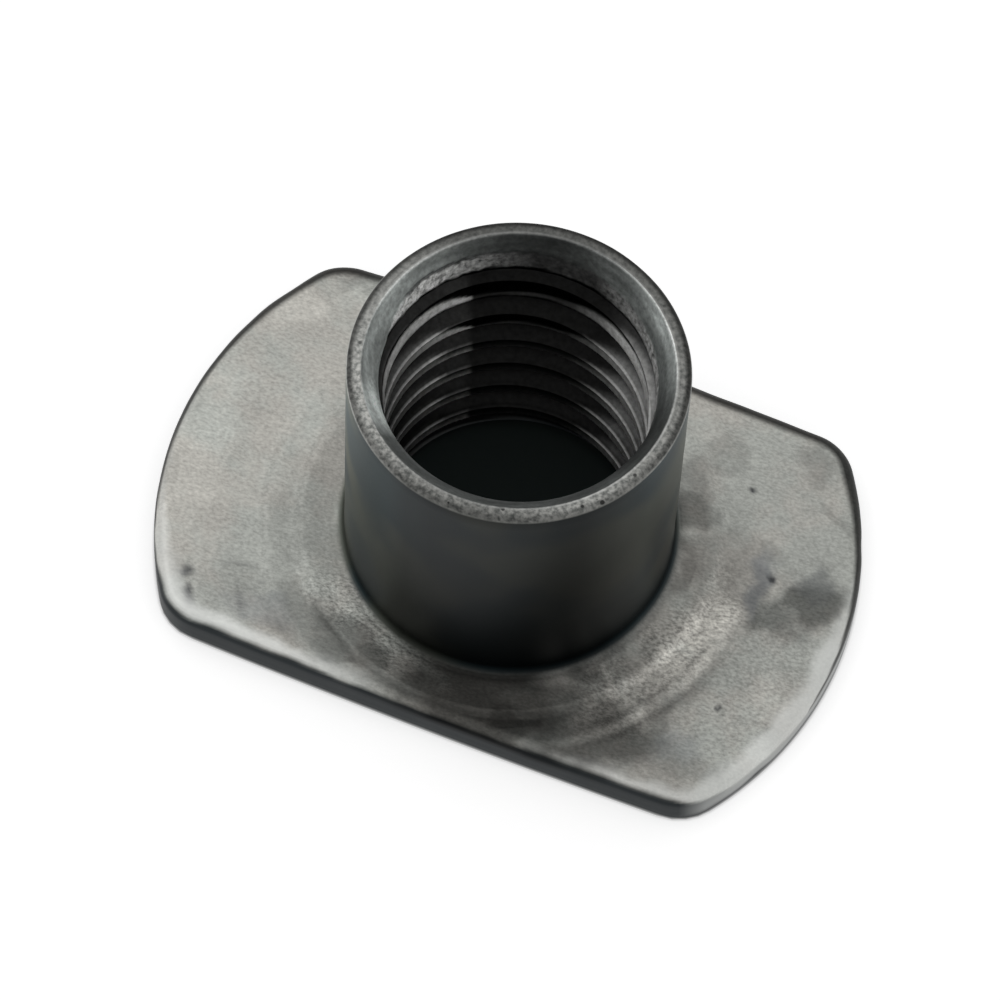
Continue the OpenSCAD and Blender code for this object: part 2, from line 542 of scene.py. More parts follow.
def tapTree():
    # cuts a helical V groove out of the mesh it is given
    tree = bpy.data.node_groups.new("tapThread", "GeometryNodeTree")
    tree.is_modifier = True
    face = tree.interface
    face.new_socket("Blank", in_out="INPUT", socket_type="NodeSocketGeometry")
    for name in ("Pitch", "Minor Radius", "Major Radius", "Start Height", "Start Angle", "Turns",
                 "Run Out", "Run Out Scale"):
        face.new_socket(name, in_out="INPUT", socket_type="NodeSocketFloat")
    for name in ("Steps Per Turn", "Profile Points"):
        face.new_socket(name, in_out="INPUT", socket_type="NodeSocketInt")
    face.new_socket("Steel", in_out="INPUT", socket_type="NodeSocketMaterial")
    face.new_socket("Tapped", in_out="OUTPUT", socket_type="NodeSocketGeometry")
    add = tree.nodes.new
    given, out = add("NodeGroupInput").outputs, add("NodeGroupOutput")
    sweep, cutAway = add("GeometryNodeCurveToMesh"), add("GeometryNodeMeshBoolean")
    realize, finished = add("GeometryNodeRealizeInstances"), add("GeometryNodeSetMaterial")
    sweep.inputs["Fill Caps"].default_value = True
    cutAway.operation = "DIFFERENCE"
    cutAway.solver = "MANIFOLD"
    linkNodes(
        tree,
        (threadPath(tree, given), sweep.inputs["Curve"]),
        (grooveSection(tree, given), sweep.inputs["Profile Curve"]),
        (grooveScale(tree, given), sweep.inputs["Scale"]),
        (given["Blank"], cutAway.inputs[0]),
        (sweep.outputs[0], cutAway.inputs[1]),
        (cutAway.outputs[0], realize.inputs[0]),
        (realize.outputs[0], finished.inputs["Geometry"]),
        (given["Steel"], finished.inputs["Material"]),
        (finished.outputs[0], out.inputs[0]),
    )
    return tree


def tapped(mesh, steel):
    # runs the tree on the blank and bakes the result to a plain mesh
    source = bpy.data.objects.new("tapping", mesh)
    bpy.context.scene.collection.objects.link(source)
    modifier = source.modifiers.new("tap", "NODES")
    modifier.node_group = tapTree()
    values = {
        "Pitch": tap["pitch"] * mm,
        "Minor Radius": boreR * mm,
        "Major Radius": tap["majorRadius"] * mm,
        "Start Height": tap["startHeight"] * mm,
        "Start Angle": tap["startAngle"],
        "Turns": tap["turns"],
        "Run Out": tap["runOut"],
        "Run Out Scale": tap["runOutScale"],
        "Steps Per Turn": tap["stepsPerTurn"],
        "Profile Points": tap["profilePoints"],
        "Steel": steel,
    }
    for item in modifier.node_group.interface.items_tree:
        if item.in_out == "INPUT" and item.name in values:
            modifier[item.identifier] = values[item.name]
    seen = source.evaluated_get(bpy.context.evaluated_depsgraph_get())
    result = bpy.data.meshes.new_from_object(seen)
    source.modifiers.clear()
    bpy.data.objects.remove(source)
    return result


steel = bpy.data.materials.new("wornSteel")
steel.use_nodes = True
nutMesh = tapped(blankMesh, steel)
nutMesh.name = "teeNut"
print("thread cut:", len(nutMesh.polygons), "faces")

nutMesh.shade_smooth()
nutMesh.set_sharp_from_angle(angle=math.radians(35))
teeNut = bpy.data.objects.new("teeNut", nutMesh)
bpy.context.scene.collection.objects.link(teeNut)
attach(teeNut, "root")
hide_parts("tee_nut")

# Tones are linear; places and sizes on the flange are in millimetres
finish = {
    "grainDark": (0.12, 0.12, 0.113),
    "grainLight": (0.64, 0.64, 0.60),
    "warmCast": (1.025, 1.0, 0.985),
    "coolCast": (0.98, 1.005, 1.0),
    # the barrel's wall is dark partly for its scale and partly as painted shade
    "wallBrown": (0.045, 0.050, 0.042),
    "wallBlue": (0.018, 0.027, 0.030),
    "rimDark": (0.11, 0.115, 0.11),
    "rimLight": (0.40, 0.40, 0.38),
    "rimPit": (0.03, 0.03, 0.03),
    "boreTone": (0.46, 0.46, 0.45),
    "mouthTone": (0.44, 0.47, 0.455),
    # the polish's bright tone, which also carries the painted highlights along the edge and on the lip
    "polished": (0.70, 0.71, 0.69),
    # the cut wall is dark partly with painted shade, and pale with painted light at the right end
    "cutWall": (0.026, 0.030, 0.032),
    "paleWall": (0.40, 0.41, 0.40),
    "soot": (0.050, 0.052, 0.056),
    "bluing": (0.17, 0.19, 0.215),
    # the flange's grain is drawn out one way; sizes are in millimetres
    "grainTurn": -22,
    "grainStretch": (0.6, 1, 1),
    "grainSize": 0.09,
    "grainContrast": (0.26, 0.15),  # where the steel is rough, and everywhere
    "grainDetail": (2.0, 0.6),  # detail and roughness of its noise
    "grainSpread": 3.0,
    # noise: scale, detail, roughness
    "clouds": (0.9, 4.0, 0.62),
    "cloudShare": 0.30,
    "casts": (0.42, 3.0, 0.55),
    "castEdges": (0.38, 0.62),
    "hues": (0.2, 2.0, 0.5),
    "hueEdges": (0.42, 0.58),
    "rimGrainSize": 0.17,
    "rimContrast": (0.45, 0.22),
    "pitSpacing": 0.28,
    "pitShare": 0.36,
    "pitSize": 0.9,
    "pitBlur": 0.06,
    "speckle": 2.2,
    "boreSpeckle": 0.6,
    "polishShare": 0.85,
    "lipShare": 0.8,
    # the flange's roughness, and what other surfaces add to it
    "roughness": 0.52,
    "roughnessAdded": {"polish": -0.06, "side": -0.08, "inside": -0.22},
    "mouthRoughness": 0.22,
    # the flange's relief, and what other surfaces add to it
    "relief": 0.3,
    "reliefAdded": {"rough": 0.5, "rim": 0.4},
    "wallRelief": -0.25,
    "bumpStrength": 0.3,
    "bumpDistance": 0.00002,
    # the pale and dim spots on the flange's upper face are mostly painted light and shade, among them the
    # barrel's painted shadow and reflection in front of it
    # (centre), (half length, half width), turn in degrees, amount
    "paleSpots": (
        ((-6.6, 5.4), (1.8, 1.6), 0, 0.04),
        ((8.2, 4.4), (2.0, 1.6), 0, 0.04),
        ((7.5, -1.7), (0.8, 1.9), -10, 0.40),
        ((-9.9, 4.8), (1.0, 0.8), 0, 0.18),
        ((-7.8, 0.2), (1.5, 2.6), 0, 0.07),
        ((10.1, -2.8), (0.8, 1.2), 0, 0.16),
        ((3.0, -5.8), (1.1, 0.3), 20, 0.12),
        ((-0.6, -6.1), (0.9, 0.45), 0, 0.10),
        ((6.8, 0.9), (0.5, 1.6), 0, 0.06),
        ((9.4, -4.4), (1.7, 1.5), 0, 0.16),
        ((-10.6, -1.0), (1.0, 3.4), 0, 0.14),
        ((-2.6, -5.2), (1.4, 0.4), -20, 0.20),
    ),
    "dimSpots": (
        ((9.0, 0.0), (5.6, 9.0), 0, 0.12),
        ((-3.5, -6.0), (1.3, 1.1), -20, 0.46),
        ((-5.4, -5.8), (1.0, 0.9), 0, 0.24),
        ((-6.3, -3.7), (0.8, 0.8), 0, 0.18),
        ((-6.1, -0.6), (0.9, 2.8), 10, 0.24),
        ((-7.8, 6.7), (0.8, 0.5), 0, 0.22),
        ((-5.6, -2.9), (0.7, 1.6), 25, 0.20),
        ((-5.0, -5.9), (1.3, 1.1), -15, 0.34),
        ((-2.6, -6.3), (0.7, 0.7), 0, 0.62),
        ((6.5, 1.4), (0.9, 1.6), 0, 0.38),
        ((5.9, 0.7), (0.35, 1.3), 0, 0.50),
        ((5.35, 2.8), (0.8, 1.3), -25, 0.58),
        ((-6.7, -2.4), (1.0, 2.4), 10, 0.14),
        ((-7.8, -5.6), (1.9, 0.9), 20, 0.12),
        ((7.9, -2.7), (0.5, 2.2), -15, 0.30),
        ((6.2, -2.5), (0.45, 0.9), 0, 0.24),
        ((4.3, -4.3), (0.9, 0.5), -40, 0.60),
        ((8.6, 6.1), (1.0, 0.8), -20, 0.32),
        ((8.3, 2.5), (0.6, 0.7), 0, 0.28),
        ((10.4, 2.4), (0.5, 0.5), 0, 0.28),
        ((8.6, 0.5), (0.9, 0.9), 20, 0.42),
        ((5.7, 5.4), (0.9, 1.0), 0, 0.24),
        ((9.0, -6.1), (1.4, 0.6), 25, 0.26),
        ((2.9, -6.75), (1.8, 0.55), 8, 0.88),
        ((7.9, 1.3), (1.1, 1.6), 20, 0.32),
        ((4.9, 3.9), (0.9, 0.8), 0, 0.40),
        ((5.0, -3.4), (0.8, 0.9), 0, 0.36),
        ((7.3, -4.7), (0.7, 0.8), 0, 0.42),
        ((1.9, -6.5), (4.1, 2.1), 4, 0.82),
        ((5.6, -6.1), (2.6, 1.3), 14, 0.62),
        ((10.35, 1.40), (0.95, 1.05), 20, 0.66),
        ((9.35, 0.05), (1.45, 0.85), 25, 0.58),
        ((10.2, 4.4), (1.1, 0.25), -32, 0.30),
    ),
    "sootSpots": (
        ((-9.25, -5.85), (0.34, 0.24), 20, 0.80),
        ((-8.85, -6.60), (0.40, 0.20), -50, 0.85),
        ((-7.15, -6.05), (0.60, 0.10), -62, 0.30),
        ((-6.90, -5.45), (0.45, 0.09), 60, 0.20),
        ((-7.60, -4.90), (0.50, 0.08), 20, 0.30),
        ((7.02, 4.42), (0.13, 0.13), 0, 0.95),
        ((8.78, 1.50), (0.16, 0.13), 0, 0.90),
        ((8.92, -3.68), (0.14, 0.13), 0, 0.90),
    ),
    "blueSpots": (
        ((8.47, 1.20), (0.40, 1.40), 4, 0.50),
        ((10.1, 1.9), (0.6, 0.5), 20, 0.25),
        ((8.2, -5.4), (0.9, 0.8), 20, 0.25),
        ((-6.4, -6.2), (1.3, 0.6), 0, 0.25),
    ),
    "roughSpots": (
        ((-2.6, -5.2), (3.0, 0.9), -20, 1.0),
        ((7.0, -1.7), (1.1, 2.8), -12, 0.9),
        ((5.6, -4.6), (1.6, 1.4), 40, 0.8),
        ((9.3, -2.5), (2.2, 3.6), 0, 0.25),
    ),
    # painted shade along the rings' steps, as dark lines along arcs: radius, half width, (turn, amount) pairs
    "arcLines": (
        (7.15, 0.16, ((224, 0), (232, 0.50), (262, 0.45), (290, 0.35), (318, 0.45), (330, 0))),
        (7.90, 0.13, ((306, 0), (316, 0.28), (345, 0.32), (352, 0))),
        (8.50, 0.15, ((306, 0), (316, 0.32), (340, 0.28), (350, 0))),
        (8.25, 0.12, ((176, 0), (182, 0.12), (205, 0.10), (212, 0))),
    ),
    # the fallen corner is painted darker as shade, and its ridge lighter as a painted highlight
    "cornerTone": (0.12, 0.22),  # how much darker the fallen corner is, and how much lighter its ridge
    "cornerRuns": (0.7, 0.35),
    # from here on, pairs of degrees round the axis and a value; the polish with its painted highlight runs
    # along the outline
    "polishWidth": ((0, 0.60), (9, 0.45), (22, 0.12), (150, 0.10), (196, 0.25), (206, 0.55), (213, 0.70),
                    (222, 0.60), (236, 0.50), (250, 0.58), (257, 0.40), (266, 0.12), (292, 0.12),
                    (300, 0.34), (312, 0.42), (322, 0.55), (335, 0.60), (345, 0.60)),
    "polishStrength": ((0, 0.78), (9, 0.40), (22, 0), (150, 0), (165, 0.15), (192, 0.25), (204, 0.50),
                       (222, 0.85), (238, 0.85), (245, 0.55), (252, 0.35), (259, 0), (293, 0),
                       (298, 0.30), (304, 0.42), (312, 0.60), (330, 0.62), (345, 0.74)),
    # the dark outline along the rolled edge is painted shade, as wide as this table says
    "darkEdgeWidth": ((0, 0.08), (18, 0.26), (32, 0.44), (90, 0.48), (140, 0.48), (155, 0.40),
                      (170, 0.27), (185, 0.18), (200, 0.08), (206, 0), (348, 0)),
    # drop below the upper face at which the cut wall starts, dark partly with painted shade, with painted
    # light where it is pale
    "wallDrop": ((0, 0.45), (20, 0.40), (160, 0.30), (200, 0.30), (209, 0.20), (214, 0.10), (320, 0.10),
                 (330, 0.42)),
    "wallPale": ((0, 0.80), (14, 0.6), (30, 0.15), (90, 0), (205, 0), (321, 0), (325, 0.6), (332, 0.85)),
    # the rim's painted light and shade round the axis
    "rimShade": ((0, 0.80), (45, 0.56), (90, 0.38), (135, 0.38), (160, 0.80), (195, 1.22), (225, 1.15),
                 (250, 0.72), (275, 0.56), (295, 0.68), (315, 1.0), (340, 0.85)),
    "rimPitting": ((0, 0.6), (45, 0.3), (180, 0.3), (202, 0.9), (262, 1), (330, 0.9)),
    # the dark outline on the rim's outer rounding is painted shade
    "rimOutline": ((15, 0.8), (205, 0.75), (235, 0.45), (330, 0.40)),
    # the barrel's wall in painted light and shade round the axis, a painted dark line under its rim and its
    # painted paler foot
    "wallShade": ((22, 1.5), (200, 2.8), (212, 2.4), (228, 1.50), (243, 1.02), (252, 0.42), (262, 0.235),
                  (278, 0.265), (289, 0.255), (300, 0.225), (315, 0.20), (326, 0.34), (335, 0.66),
                  (342, 1.05), (358, 1.0)),
    "underRim": ((205, 0), (235, 0.3), (330, 0.3), (345, 0)),
    "paleFoot": ((250, 0), (262, 0.6), (285, 0.5), (300, 0)),
    # painted light and shade round the axis: the band in the mouth and how much darker its foot is, the crack
    # under it painted dark, and the torn metal below
    "mouthShade": ((0, 0.18), (12, 0.40), (26, 1.2), (45, 1.6), (65, 0.8), (85, 0.24), (100, 0.12),
                   (118, 0.18), (135, 0.55), (155, 1.25), (172, 1.5), (190, 1.0), (202, 0.95), (212, 1.7),
                   (221, 1.4), (231, 0.30), (330, 0.22), (345, 0.12)),
    "bandFootDark": ((330, 0), (10, 0.6), (50, 0.6), (75, 0)),
    "crack": ((85, 0), (95, 0.6), (125, 0.6), (133, 0.9), (160, 0.9), (168, 0)),
    "landShade": ((0, 0.35), (12, 0.8), (26, 0.9), (40, 1.0), (62, 0.65), (80, 0.09), (105, 0.07),
                  (116, 0.25), (126, 0.65), (140, 1.2), (155, 1.8), (172, 2.0), (190, 1.7), (205, 0.5),
                  (225, 0.05), (335, 0.05)),
    # the painted highlight on each thread, a bright stripe: its width, its light, what the first turns gain
    # and deep ones lose
    "stripeWidth": ((0, 0.80), (30, 0.80), (60, 0.70), (80, 0.45), (92, 0.20), (131, 0.12), (136, 0.30),
                    (142, 0.44), (150, 0.56), (165, 0.62), (180, 0.66), (200, 0.70)),
    "stripeLight": ((0, 0.12), (10, 0.25), (24, 0.30), (42, 0.36), (60, 0.42), (74, 0.22), (88, 0.04),
                    (130.2, 0.03), (131.5, 0.45), (133, 0.60), (139, 0.62), (150, 0.52), (165, 0.32),
                    (182, 0.22), (205, 0.12), (225, 0.05), (335, 0.05)),
    "stripeGain": ((10, 0), (30, 1.3), (60, 1.2), (75, 0), (150, 0), (165, 0.7), (190, 1.5), (208, 0.4)),
    "stripeLoss": ((60, 0.30), (125, 0.40), (145, 0.50), (165, 0.70), (225, 0.75)),
    # the lip's painted highlight round the axis
    "lipShine": ((0, 0.55), (40, 0.45), (75, 0.40), (100, 0.40), (122, 0.65), (150, 0.6), (166, 0.3),
                 (185, 0), (230, 0), (262, 0.35), (330, 0.45)),
    # how much the painted highlight brightens the crest faces
    "faceGain": 3.6,  # the thread's crest face against its flank, and the most that it may reach
    "faceMost": 2.05,
    "faceLoss": 0.7,
    # the share of light left in the groove's painted shade, and the least that the bore keeps
    "grooveTone": 0.06,
    "boreLeast": 0.014,
    "wallHeights": (0.65, 1.0, 1.45),  # light at the wall's foot, in the middle and at its top
    # how dark the painted shade gets on the outline, in the throat and in the crack
    "edgeDark": 0.90,
    "darkEdgeBlur": (1.3, 0.7),  # shares of its width at which it starts and is full
    "throatDark": 0.93,
    "crackDark": 0.85,
    "bandDull": 0.6,
    "streakSqueeze": 5,
    "raggedSize": 0.5,  # spots smaller than this keep their form
}

# Where the paint starts and where it is full, in millimetres
paintEdges = {
    "onTop": (blank["thickness"] - 0.55, padTop + 0.05),
    "sideStart": (padTop - 0.1, padTop + 0.1),
    "tear": (-0.05, 0.05),
    "rimRadius": (5.01, 5.05),
    "rimDepth": (0.20, 0.08),
    "rimOutline": (5.20, 5.38),
    "insideRadius": (5.04, 5.0),
    "insideHeight": (0.3, 1.0),
    "sideOuter": (6.1, 5.65),
    "sideInner": (5.02, 5.06),
    "sideLow": (padTop - 0.2, 6.5),
    "sideHigh": (6.5, 10.5),
    "underRim": (11.15, 11.40),
    "paleFoot": (4.4, 2.4),
    "lastCrest": (0.38, 0.46),
    "landDepth": (0.15, 0.0),
    "crestLow": (0.42, 0.50),
    "crestStart": 0.53,
    "faceLow": (0.40, 0.50),
    "faceHigh": (1.02, 0.95),
    "deepBore": (9.0, 1.5),
    "firstTurns": (8.2, 9.6),
    "crack": (0.09, 0.03),
    "bandFoot": (11.35, 11.0),
    "lipInner": (4.93, 4.97),
    "lipOuter": (5.11, 5.06),
    "lipDepth": (0.12, 0.04),
    "throatDepth": (0.02, 0.08),
    "throatTop": 0.1,
    "throatRadius": (5.06, 5.0),
    "cutWall": (-0.07, 0.09),
    "wallFoot": (0.10, 0.35),
    "polish": (1.45, 0.55),
    "spot": (1.35, 0.45),
}


def spotField(x, y, spots):
    # soft ragged spots, the strongest one winning
    warpX = wander(x, y, 0 * x, "spotAlong") + wander(x, y, 0 * x, "spotAlongFine")
    warpY = wander(x, y, 0 * x, "spotAcross") + wander(x, y, 0 * x, "spotAcrossFine")
    field = np.zeros_like(x)
    for (cx, cy), (length, width), turn, amount in spots:
        share = min(1.0, min(length, width) / finish["raggedSize"])
        dx, dy = x + warpX * share - cx, y + warpY * share - cy
        c, s = math.cos(math.radians(turn)), math.sin(math.radians(turn))
        reach = np.hypot((dx * c + dy * s) / length, (dy * c - dx * s) / width)
        field = np.maximum(field, amount * smooth(*paintEdges["spot"], reach))
    return field


def findSurfaces(mesh):
    # each point's place, and how far it belongs to each surface of the nut, from 0 to 1
    points = np.empty(len(mesh.vertices) * 3)
    mesh.vertices.foreach_get("co", points)
    x, y, z = (points.reshape(-1, 3) / mm).T
    r, turn, e = np.hypot(x, y), np.degrees(np.arctan2(y, x)) % 360, paintEdges
    onTop = (z > e["onTop"][0]) & (z < e["onTop"][1])
    rim = smooth(*e["rimRadius"], r) * smooth(*(nutHeight - d for d in e["rimDepth"]), z)
    inside = smooth(*e["insideRadius"], r) * smooth(*e["insideHeight"], z)
    side = smooth(*e["sideOuter"], r) * smooth(*e["sideInner"], r) * (1 - rim)
    side = side * smooth(*e["sideStart"], z)
    tear = tearHeight(x, y)
    band = inside * smooth(*(tear + d for d in e["tear"]), z)
    reach = openingReach(turn, z)
    depth = np.where(z < tear, (r - reach) / (tap["majorRadius"] - reach), 0)
    # height above the middle of the groove below, between 0 and a pitch
    share = (turn - tap["startAngle"]) % 360 / 360
    firstRoot = tap["startHeight"] + tap["pitch"] * share
    lastRoot = firstRoot + tap["pitch"] * np.floor(tap["paintedTurns"] - share)
    above = (z - firstRoot) % tap["pitch"]
    land = inside * (1 - band) * smooth(*(lastRoot + d for d in e["lastCrest"]), z)
    land = land * smooth(*e["landDepth"], depth)
    return {"x": x, "y": y, "z": z, "r": r, "turn": turn, "onTop": onTop, "rim": rim, "inside": inside,
            "side": side, "tear": tear, "band": band, "above": above, "land": land,
            "thread": inside * (1 - band) * (1 - land)}


def shadeFlange(p):
    # painted light and shade on the flange: slow spots, the fallen corner and its ridge, dark lines of the
    # rings, and the dark outline
    x, y, turn, onTop, f = p["x"], p["y"], p["turn"], p["onTop"], finish
    shade = 1 + onTop * (spotField(x, y, f["paleSpots"]) - spotField(x, y, f["dimSpots"]))
    slope, ridge = (pastSlope(x, y, run) for run in f["cornerRuns"])
    dark, light = f["cornerTone"]
    shade *= 1 + onTop * (light * ridge * (1 - slope) - dark * slope)
    for reach, width, table in f["arcLines"]:
        off = (p["r"] - reach + wander(x, y, 0 * x, "arcs")) / width
        shade *= 1 - around(turn, table) * np.exp(-(off ** 2)) * onTop
    width = around(turn, f["darkEdgeWidth"])
    start, full = f["darkEdgeBlur"]
    edge = smooth(width * start, width * full - 0.001, edgeGap(x, y))
    return shade * np.where(onTop & (width > 0), 1 - f["edgeDark"] * edge, 1)


def shadeBarrel(p):
    # painted light and shade: the rim and its dark outline, then the wall
    turn, z, f, e = p["turn"], p["z"], finish, paintEdges
    outline = around(turn, f["rimOutline"]) * smooth(*e["rimOutline"], p["r"])
    rim = 1 + p["rim"] * (around(turn, f["rimShade"]) * (1 - outline) - 1)
    foot, middle, top = f["wallHeights"]
    wall = foot + (middle - foot) * smooth(*e["sideLow"], z) + (top - middle) * smooth(*e["sideHigh"], z)
    wall *= 1 - around(turn, f["underRim"]) * smooth(*e["underRim"], z)
    wall *= 1 + around(turn, f["paleFoot"]) * smooth(*e["paleFoot"], z)
    return rim * (1 + p["side"] * (around(turn, f["wallShade"]) * wall - 1))


def shadeThread(p, crest, face):
    # painted highlights as bright stripes on the crests and the flanks over them, with painted shade deep in
    # the groove
    turn, z, thread, f, e = p["turn"], p["z"], p["thread"], finish, paintEdges
    loss = 1 - around(turn, f["stripeLoss"]) * smooth(*e["deepBore"], z)
    lit = around(turn, f["stripeLight"])
    lit = lit * (1 + around(turn, f["stripeGain"]) * smooth(*e["firstTurns"], z))
    onFace = np.minimum(f["faceGain"] * lit, f["faceMost"]) * (1 - f["faceLoss"] * (1 - loss))
    lit = lit * loss * (1 - face) + onFace * face
    groove = 1 - f["grooveTone"]
    shade = (1 - thread * groove * (1 - crest)) * (1 + thread * (lit - 1))
    # painted shade on the groove where it leaves through the throat
    throat = blank["throatRound"]
    leaving = smooth(*(throat - d for d in e["throatDepth"]), np.hypot(p["r"] - boreR - throat, z - throat))
    leaving *= smooth(throat + e["throatTop"], throat, z) * smooth(*e["throatRadius"], p["r"])
    return shade * (1 - f["throatDark"] * leaving)


def shadeMouth(p):
    # painted light and shade on the streaked band and the torn metal under it, and painted shade in the crack
    # between them
    x, y, z, turn, f, e = p["x"], p["y"], p["z"], p["turn"], finish, paintEdges
    streaks = 1 + wander(x, y, z * f["streakSqueeze"], "streaks")
    low = around(turn, f["bandFootDark"]) * smooth(*e["bandFoot"], z)
    shade = 1 + p["band"] * (around(turn, f["mouthShade"]) * streaks * (1 - low) - 1)
    shade *= 1 + p["land"] * (around(turn, f["landShade"]) - 1)
    crack = around(turn, f["crack"]) * p["inside"] * smooth(*e["crack"], np.abs(z - p["tear"]))
    return shade * (1 - f["crackDark"] * crack)


def paintZones(mesh):
    # masks and shades that the steel reads, one value for each point
    p, f, e = findSurfaces(mesh), finish, paintEdges
    x, y, z, r, turn, inside = (p[name] for name in ("x", "y", "z", "r", "turn", "inside"))
    # a painted highlight stripe starts at the crest's lower edge and is as wide as its table says
    wide, start = around(turn, f["stripeWidth"]), e["crestStart"]
    crest = smooth(*e["crestLow"], p["above"]) * smooth(start + wide, start + 0.5 * wide, p["above"])
    face = smooth(*e["faceLow"], p["above"]) * smooth(*e["faceHigh"], p["above"])
    shade = shadeFlange(p) * shadeBarrel(p) * shadeThread(p, crest, face) * shadeMouth(p)
    lip = smooth(*e["lipInner"], r) * smooth(*e["lipOuter"], r)
    lip = lip * smooth(*(nutHeight - d for d in e["lipDepth"]), z)
    # the cut wall starts some way below the upper face, along a slightly wavy line
    start = around(turn, f["wallDrop"]) + wander(x, y, z, "cutWall")
    cut = smooth(*(start + d for d in e["cutWall"]), blank["thickness"] - z)
    gap = edgeGap(x, y) + wander(x, y, z, "polish") + wander(x, y, z, "polishFine")
    polish = around(turn, f["polishStrength"]) * smooth(*e["polish"], gap / around(turn, f["polishWidth"]))
    zones = {
        "shade": np.where(inside > 0.5, np.maximum(shade, f["boreLeast"]), shade),
        "side": p["side"],
        "rim": p["rim"],
        "lip": lip * around(turn, f["lipShine"]),
        "pitting": p["rim"] * around(turn, f["rimPitting"]),
        "inside": inside,
        "band": p["band"],
        "land": p["land"],
        "dull": np.maximum(p["land"], f["bandDull"] * p["band"]) + p["thread"] * crest * face,
        "cut": cut,
        "pale": around(turn, f["wallPale"]) * smooth(*e["wallFoot"], z),
        "soot": p["onTop"] * spotField(x, y, f["sootSpots"]),
        "blue": p["onTop"] * spotField(x, y, f["blueSpots"]),
        "rough": p["onTop"] * spotField(x, y, f["roughSpots"]),
        "polish": p["onTop"] * polish * (1 - cut),
    }
    for name, values in zones.items():
        mesh.attributes.new(name, "FLOAT", "POINT").data.foreach_set("value", values.astype(np.float32))
    return tuple(zones)


def put(tree, kind, given=None, **settings):
    # adds a node, sets its options, and links or fills its inputs
    node = tree.nodes.new(kind)
    for key, value in settings.items():
        setattr(node, key, value)
    for key, value in (given or {}).items():
        socket = node.inputs[key]
        if isinstance(value, bpy.types.NodeSocket):
            tree.links.new(value, socket)
        else:
            socket.default_value = value
    return node


def mixTones(tree, share, a, b, blend="MIX"):
    a, b = ((*tone, 1) if isinstance(tone, tuple) and len(tone) == 3 else tone for tone in (a, b))
    node = put(tree, "ShaderNodeMix", {0: share, 6: a, 7: b}, data_type="RGBA", blend_type=blend)
    return node.outputs[2]


def mapRange(tree, value, low, high, toLow=0.0, toHigh=1.0):
    given = {"Value": value, "From Min": low, "From Max": high, "To Min": toLow, "To Max": toHigh}
    return put(tree, "ShaderNodeMapRange", given, interpolation_type="SMOOTHSTEP").outputs[0]


def inMillimetres(tree):
    given = {0: put(tree, "ShaderNodeTexCoord").outputs["Object"], 1: (1000, 1000, 1000)}
    return put(tree, "ShaderNodeVectorMath", given, operation="MULTIPLY").outputs[0]


def noiseNode(tree, vector, scale, detail, roughness):
    given = {"Vector": vector, "Scale": scale, "Detail": detail, "Roughness": roughness}
    return put(tree, "ShaderNodeTexNoise", given).outputs[0]


def newGroup(name, inputs, outputs):
    tree = bpy.data.node_groups.new(name, "ShaderNodeTree")
    for label, kind, value in inputs:
        socket = tree.interface.new_socket(label, in_out="INPUT", socket_type="NodeSocket" + kind)
        socket.default_value = value
    for label in outputs:
        tree.interface.new_socket(label, in_out="OUTPUT", socket_type="NodeSocketFloat")
    return tree, tree.nodes.new("NodeGroupInput").outputs, tree.nodes.new("NodeGroupOutput").inputs


def useGroup(tree, group, **given):
    return put(tree, "ShaderNodeGroup", given, node_tree=group).outputs


def makeGrain():
    # fine crystals of pickled steel; Grain is 0 to 1 about a middle of 0.5
    inputs = (("Place", "Vector", (0, 0, 0)), ("Size", "Float", 0.1), ("Contrast", "Float", 0.5))
    tree, given, out = newGroup("steelGrain", inputs, ("Grain",))
    per = mathNode(tree, "DIVIDE", 1.0, given["Size"])
    crystals = noiseNode(tree, given["Place"], per, *finish["grainDetail"])
    spread = mathNode(tree, "MULTIPLY", mathNode(tree, "SUBTRACT", crystals, 0.5), given["Contrast"])
    grain = mathNode(tree, "MULTIPLY_ADD", spread, finish["grainSpread"], 0.5)
    tree.links.new(mapRange(tree, grain, 0.0, 1.0), out["Grain"])
    return tree


def makePits():
    # small scattered pits; Mask is 1 in a pit
    inputs = (("Place", "Vector", (0, 0, 0)), ("Spacing", "Float", 0.5), ("Share", "Float", 0.3))
    tree, given, out = newGroup("scatteredPits", inputs, ("Mask",))
    per = mathNode(tree, "DIVIDE", 1.0, given["Spacing"])
    cells = put(tree, "ShaderNodeTexVoronoi", {"Vector": given["Place"], "Scale": per}).outputs
    chance = put(tree, "ShaderNodeSeparateColor", {0: cells["Color"]}).outputs[0]
    size = mathNode(tree, "MULTIPLY", mathNode(tree, "SUBTRACT", given["Share"], chance), finish["pitSize"])
    blur = finish["pitBlur"]
    inPit = mapRange(tree, mathNode(tree, "SUBTRACT", cells["Distance"], size), blur, -blur)
    tree.links.new(inPit, out["Mask"])
    return tree


def scaled(tree, value, factor, more):
    # value x factor + more
    return mathNode(tree, "MULTIPLY_ADD", value, factor, more)


def offMiddle(tree, value):
    return mathNode(tree, "SUBTRACT", value, 0.5)


